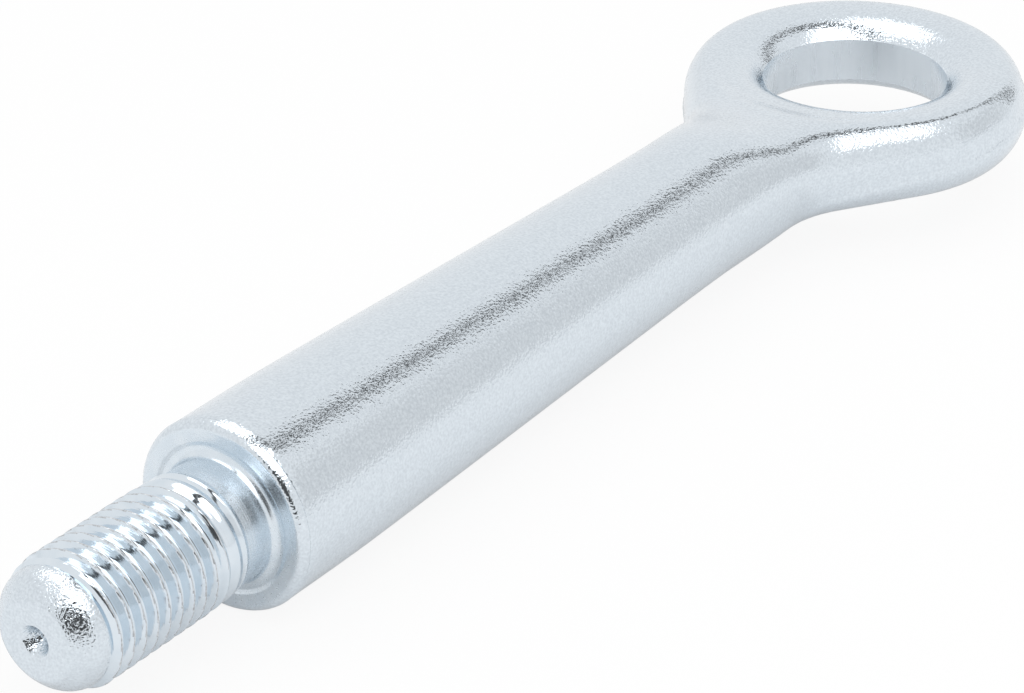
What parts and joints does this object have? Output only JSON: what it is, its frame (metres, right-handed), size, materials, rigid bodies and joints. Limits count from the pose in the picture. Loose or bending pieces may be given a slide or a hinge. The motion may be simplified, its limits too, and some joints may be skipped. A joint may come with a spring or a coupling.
{
  "type": "towing eye",
  "caption": "Forged screw-in towing eye: a tapered round shank with a punched ring at one end and a shouldered, threaded stud at the other.",
  "frame": {"origin": "centre of the eye's bore, half way through its wall", "axes": "+Z along the bore's axis, +X away from the shank, so the shank runs to -X and the stud's free end points to -X"},
  "size_m": [0.1878, 0.0452, 0.0232],
  "materials": {
    "zinc_plated_steel": "pale zinc plating over a fine-grained forged skin, brighter on the turned stud"
  },
  "bodies": {
    "root": {"towing_eye": "zinc_plated_steel"}
  },
  "joints": []
}
